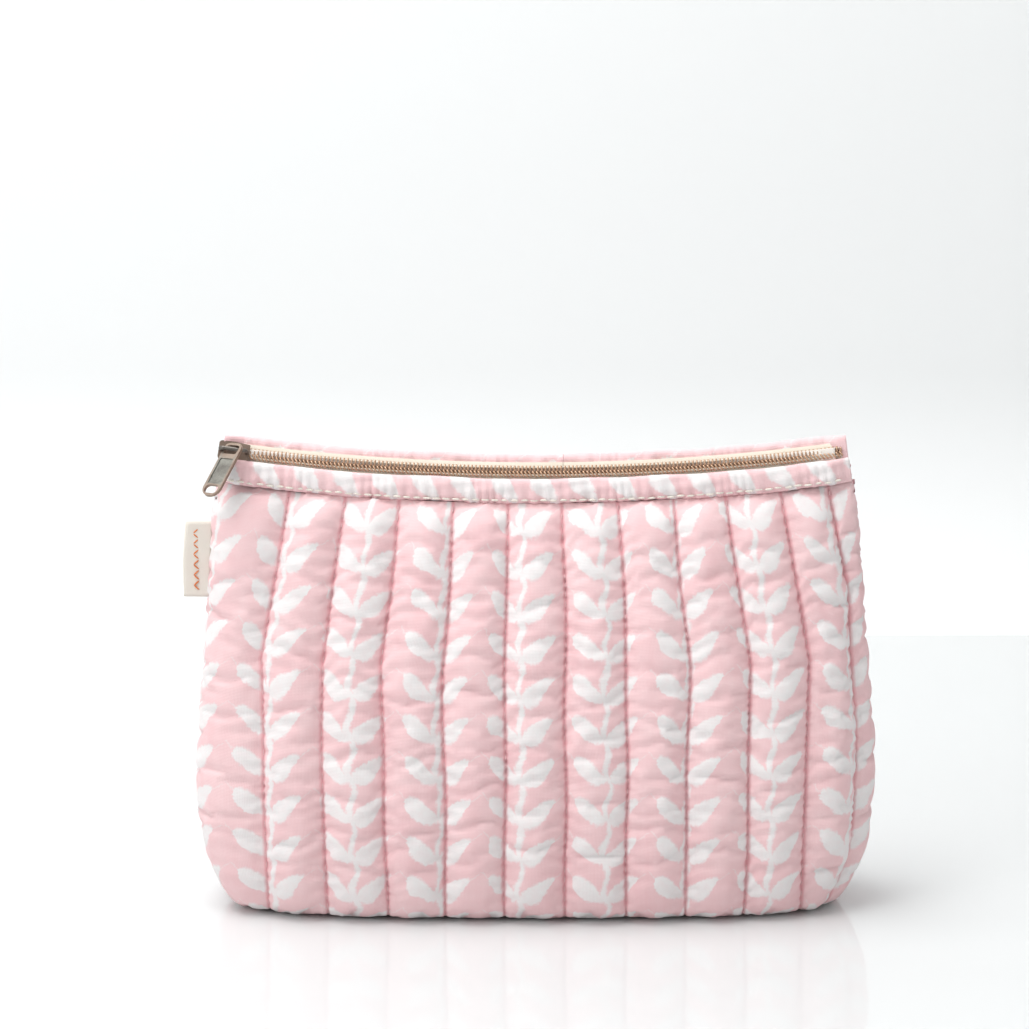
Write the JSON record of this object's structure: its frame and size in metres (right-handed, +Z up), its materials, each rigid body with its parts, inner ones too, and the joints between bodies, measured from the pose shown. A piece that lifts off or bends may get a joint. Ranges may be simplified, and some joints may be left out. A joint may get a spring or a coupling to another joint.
{
  "type": "quilted zip pouch",
  "caption": "Quilted cotton makeup bag on a boxed base, with two bound edges closed by a coil zip, a slider and a hanging puller.",
  "frame": {"origin": "centre of the flat base, on the surface the bag stands on", "axes": "+X to the right along the zip seen from the front, +Y to the back, +Z up"},
  "size_m": [0.2243, 0.0658, 0.1522],
  "materials": {
    "printed_cotton": "matte woven cotton, block print",
    "wadding": "soft matte",
    "lining_cotton": "matte woven cotton",
    "quilting_thread": "matte thread",
    "topstitch_thread": "matte thread",
    "zip_tape": "woven tape",
    "coil": "satin nylon monofilament",
    "seam_tape": "matte woven cotton",
    "label": "cotton tape",
    "antique_brass": "antiqued, satin"
  },
  "bodies": {
    "bag_body": {"front_outer": "printed_cotton", "front_wadding": "wadding", "front_lining": "lining_cotton", "front_quilting": "quilting_thread", "front_binding": "printed_cotton", "front_topstitch": "topstitch_thread", "front_zip_tape": "zip_tape", "front_coil": "coil", "base_outer": "printed_cotton", "base_wadding": "wadding", "base_lining": "lining_cotton", "side_seam_left": "seam_tape", "side_seam_right": "seam_tape", "corner_seam_left": "seam_tape", "corner_seam_right": "seam_tape", "label_tab": "label"},
    "back_wall": {"back_outer": "printed_cotton", "back_wadding": "wadding", "back_lining": "lining_cotton", "back_quilting": "quilting_thread", "back_binding": "printed_cotton", "back_topstitch": "topstitch_thread", "back_zip_tape": "zip_tape", "back_coil": "coil"},
    "slider": {"slider_body": "antique_brass", "slider_bail": "antique_brass"},
    "puller": {"puller": "antique_brass"}
  },
  "joints": [
    {"name": "slider_travel", "type": "hinge", "parent": "bag_body", "child": "slider", "pos_m": [0, 0, 0.884], "axis": [0, -1, 0], "range_deg": [0, 15], "deforming": ["front_coil", "front_zip_tape"]},
    {"name": "mouth_open", "type": "hinge", "parent": "bag_body", "child": "back_wall", "pos_m": [0, 0.0305, 0.0051], "axis": [-1, 0, 0], "range_deg": [0, 18], "deforming": ["back_coil", "back_zip_tape"]},
    {"name": "puller_swing", "type": "hinge", "parent": "slider", "child": "puller", "pos_m": [-0.0967, -0.00432, 0.14991], "axis": [-0.9914, 0, 0.1306], "range_deg": [0, 160]}
  ],
  "couplings": [
    {"joint": "mouth_open", "follows": "slider_travel", "ratio": 1.2}
  ]
}
